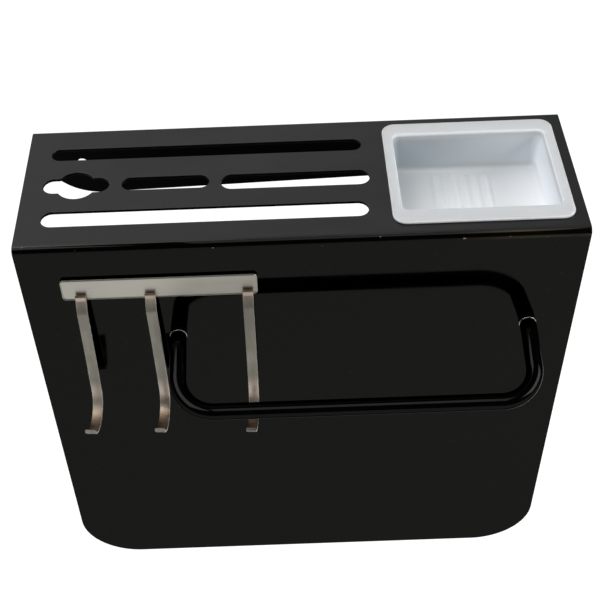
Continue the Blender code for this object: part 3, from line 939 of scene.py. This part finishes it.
def make_loop():
    """The rod: round sections along its path, with a chamfer at each end."""
    path = loop_path(LOOP_HIGH.y)
    chamfer = ((0, ROD_CHAMFER), (ROD_CHAMFER, 0))
    turns = [2 * math.pi * k / ROD_SIDES for k in range(ROD_SIDES)]
    across = Vector((1, 0, 0))
    rings = []
    for i, point in enumerate(path):
        along = path_direction(path, i)
        across = (across - along * across.dot(along)).normalized()
        other = along.cross(across)
        spokes = [math.cos(t) * across + math.sin(t) * other for t in turns]
        sections = [(0, 0)]
        if i == 0:
            sections = chamfer
        elif i == len(path) - 1:
            sections = [(-ahead, less) for ahead, less in reversed(chamfer)]
        for ahead, less in sections:
            rings.append([point + along * ahead + (ROD_RADIUS - less) * s for s in spokes])
    bm = bmesh.new()
    loft(bm, rings)
    loop = make_object("dryer_loop", bm, (gloss_black_rod(),))
    show(loop, "holder_loop", "station")


def make_ring(node, piece, material, rounding):
    """A flat ring with rounded rims, in its CAD node's place."""
    low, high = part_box(node)
    centre = ((low.x + high.x) / 2, (low.z + high.z) / 2)
    corner = (high.x - low.x) / 2 - rounding
    profile = [(BORE_RADIUS, low.y), (corner, low.y)]
    profile += arc((corner, low.y + rounding), rounding, -90, 0, 4)
    profile += arc((corner, high.y - rounding), rounding, 0, 90, 4)
    profile += [(BORE_RADIUS, high.y)]
    bm = bmesh.new()
    add_turned(bm, profile, centre, closed=True)
    bmesh.ops.remove_doubles(bm, verts=bm.verts, dist=1e-6)
    ring = make_object(piece, bm, (material,))
    show(ring, node, "station")


def cross_outline(centre):
    """A cross recess's outline, one arm after the other."""
    arm, side = RECESS_ARM, RECESS_HALF_WIDTH
    outline = []
    for quarter in range(4):
        turn = math.radians(90 * quarter)
        for u, v in ((side, side), (side, arm), (-side, arm)):
            x = u * math.cos(turn) - v * math.sin(turn)
            z = u * math.sin(turn) + v * math.cos(turn)
            outline.append((centre[0] + x, centre[1] + z))
    return outline


def make_screw(node, piece, material):
    """A pan-head machine screw with a threaded shank and a cross recess."""
    low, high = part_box(node)
    centre = ((low.x + high.x) / 2, (low.z + high.z) / 2)
    head_radius = (high.x - low.x) / 2
    head_y = high.y - HEAD_SIDE - HEAD_CROWN
    root_radius = SHANK_RADIUS - THREAD_DEPTH
    profile = [(root_radius - THREAD_DEPTH, low.y)]
    y = low.y + THREAD_PITCH / 2
    while y < head_y - 2 * THREAD_PITCH:
        profile += [(root_radius, y), (SHANK_RADIUS, y + THREAD_PITCH / 2)]
        y += THREAD_PITCH
    profile += [(root_radius, y), (root_radius, head_y)]
    profile += [(head_radius, head_y), (head_radius, head_y + HEAD_SIDE)]
    for angle in turn_angles(10, 90, 7):
        share = HEAD_FLAT_SHARE + (1 - HEAD_FLAT_SHARE) * math.cos(angle)
        profile.append((head_radius * share, head_y + HEAD_SIDE + HEAD_CROWN * math.sin(angle)))
    bm = bmesh.new()
    add_turned(bm, profile, centre)
    screw = make_object(piece, bm, (material,))
    recess_y = high.y - RECESS_DEPTH
    recess = make_cutter("recess", [cross_outline(centre)], along_y, recess_y, high.y + OVERSHOOT)
    add_boolean(screw, recess, "DIFFERENCE")
    bake_modifiers(screw, [recess])
    show(screw, node, "station")


def make_fixings():
    metal = zinc()
    for side in ("left", "right"):
        make_ring("loop_collar_" + side, "collar_" + side, metal, COLLAR_ROUNDING)
        make_ring("loop_washer_" + side, "washer_" + side, metal, WASHER_ROUNDING)
        make_screw("loop_screw_" + side, "screw_" + side, metal)


# Stage


def make_camera():
    """The view: from in front, well above, with the horizon a little tilted."""
    azimuth, elevation = math.radians(CAMERA_AZIMUTH), math.radians(CAMERA_ELEVATION)
    roll = math.radians(CAMERA_ROLL)
    ahead = Vector((
        -math.sin(azimuth) * math.cos(elevation),
        math.cos(azimuth) * math.cos(elevation),
        -math.sin(elevation),
    ))
    level = Vector((math.cos(azimuth), math.sin(azimuth), 0))
    down = ahead.cross(level)
    right = level * math.cos(roll) - down * math.sin(roll)
    down = level * math.sin(roll) + down * math.cos(roll)
    camera = bpy.data.objects.new("camera", bpy.data.cameras.new("camera"))
    bpy.context.scene.collection.objects.link(camera)
    camera.data.sensor_width = CAMERA_SENSOR
    camera.data.lens = CAMERA_LENS
    camera.data.shift_x = CAMERA_SHIFT
    camera.data.clip_start = CAMERA_CLIP
    camera.location = CAMERA_PLACE
    turn = camera.matrix_world.to_3x3()
    turn.col[0], turn.col[1], turn.col[2] = right, -down, -ahead
    camera.rotation_euler = turn.to_euler()
    bpy.context.scene.camera = camera


def make_world():
    """A pale backdrop to the camera, which gives the object only a little light."""
    world = bpy.data.worlds.new("studio")
    bpy.context.scene.world = world
    world.use_nodes = True
    tree = world.node_tree
    background = tree.nodes["Background"]
    background.inputs["Color"].default_value = (*WORLD_COLOUR, 1)
    rays = tree.nodes.new("ShaderNodeLightPath")
    strength = tree.nodes.new("ShaderNodeMapRange")
    strength.inputs["To Min"].default_value = WORLD_LIGHT
    strength.inputs["To Max"].default_value = WORLD_BACKDROP
    tree.links.new(rays.outputs["Is Camera Ray"], strength.inputs["Value"])
    tree.links.new(strength.outputs["Result"], background.inputs["Strength"])


def make_floor():
    """A plain pale floor, which gives most of its own light."""
    bm = bmesh.new()
    bmesh.ops.create_grid(bm, x_segments=2, y_segments=2, size=FLOOR_HALF)
    look = Shading("pale_floor")
    pale = look.mix(look.noise(40, detail=3), (0.90, 0.90, 0.90), (0.92, 0.92, 0.92))
    look.set(
        Base_Color=(0.30, 0.30, 0.30),
        Roughness=0.8,
        Emission_Color=pale,
        Emission_Strength=0.95,
    )
    floor = make_object("floor", bm, (look.material,))
    floor.location.z = BODY_LOW.z - FLOOR_DROP


def add_area_light(name, place, aim, size, watts):
    data = bpy.data.lights.new(name, "AREA")
    data.shape = "RECTANGLE"
    data.size, data.size_y = size
    data.energy = watts
    lamp = bpy.data.objects.new(name, data)
    bpy.context.scene.collection.objects.link(lamp)
    lamp.location = place
    lamp.rotation_euler = (Vector(aim) - Vector(place)).to_track_quat("-Z", "Y").to_euler()


def make_stage():
    """Floor, backdrop and four soft lights: behind, at the left, overhead and at the right."""
    bpy.context.scene.view_settings.view_transform = "Standard"
    make_world()
    make_floor()
    for light in SOFT_LIGHTS:
        add_area_light(*light)


make_camera()
make_stage()
make_station_body()
make_tray()
make_rail()
make_tape()
make_hooks()
make_loop()
make_fixings()
